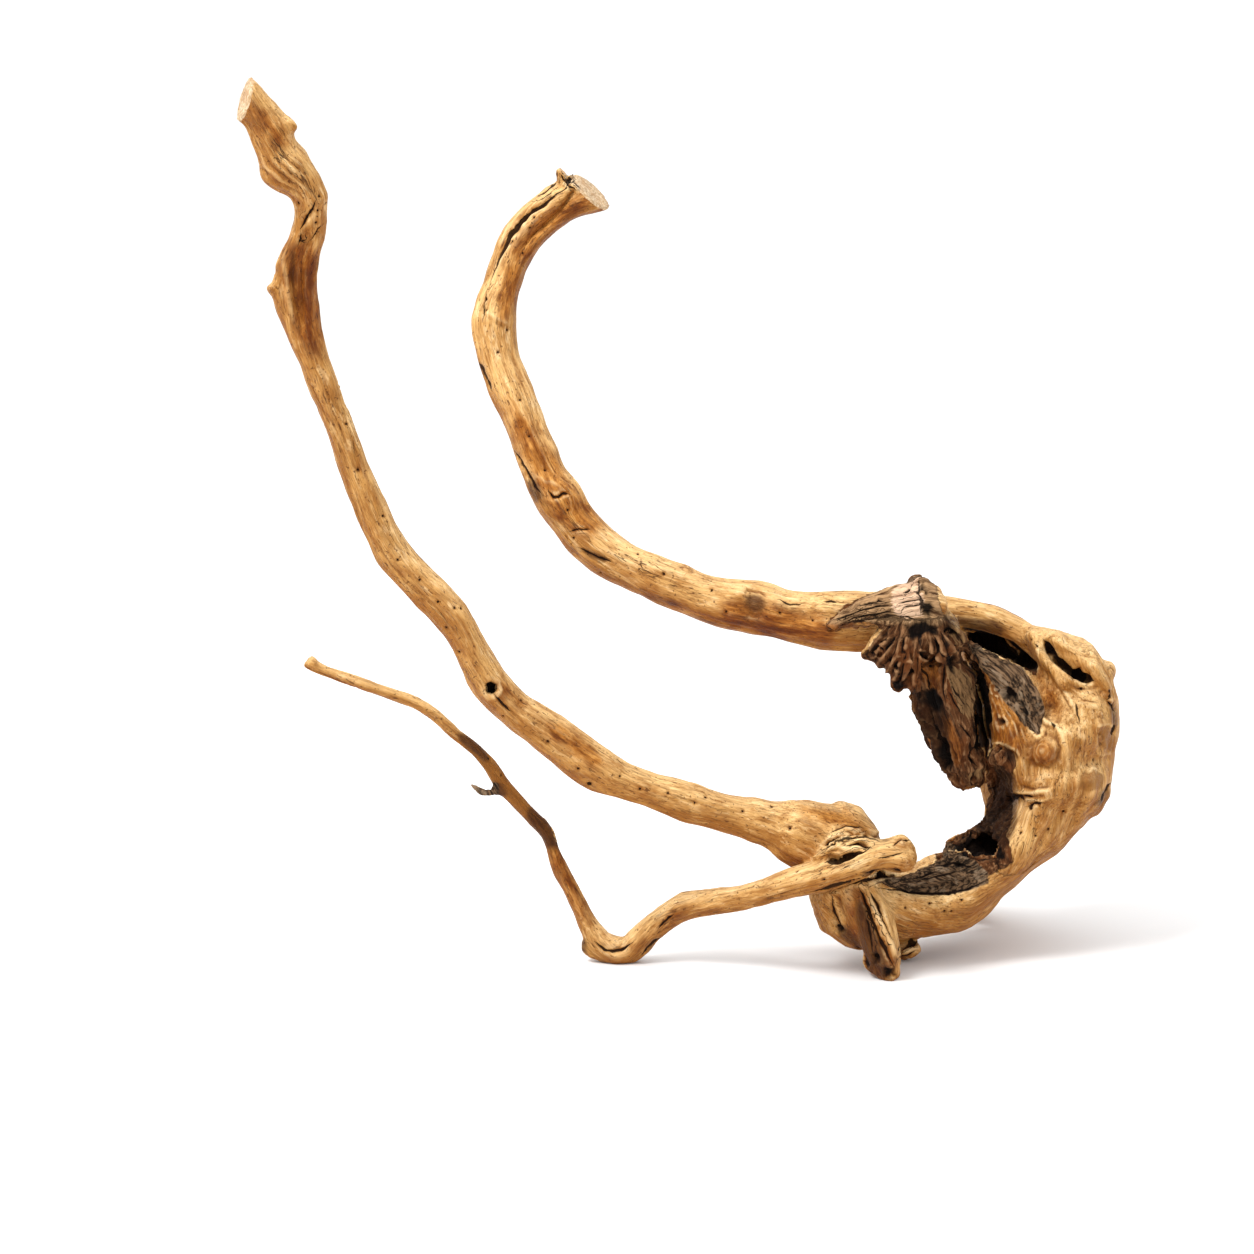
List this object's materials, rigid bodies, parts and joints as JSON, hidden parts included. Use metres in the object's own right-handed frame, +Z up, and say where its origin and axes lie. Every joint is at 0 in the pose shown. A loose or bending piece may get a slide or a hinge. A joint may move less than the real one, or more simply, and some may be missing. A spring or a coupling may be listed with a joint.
{
  "type": "driftwood root branch",
  "caption": "Bare weathered root wood with a hollow gnarled burl, long curved branches and a thin bent twig, standing by itself as a display or tank decoration",
  "frame": {"origin": "Middle of the bounding box in plan, at the height of the surface that the wood stands on.", "axes": "+X to the right in the picture, where the burl is, +Y away from the picture's viewer, +Z up."},
  "size_m": [0.3488, 0.209, 0.3651],
  "materials": {
    "wood": "bare weathered wood, satin, pale tan with amber and dark rotted parts"
  },
  "bodies": {
    "root": {"moorwood": "wood"}
  },
  "joints": []
}
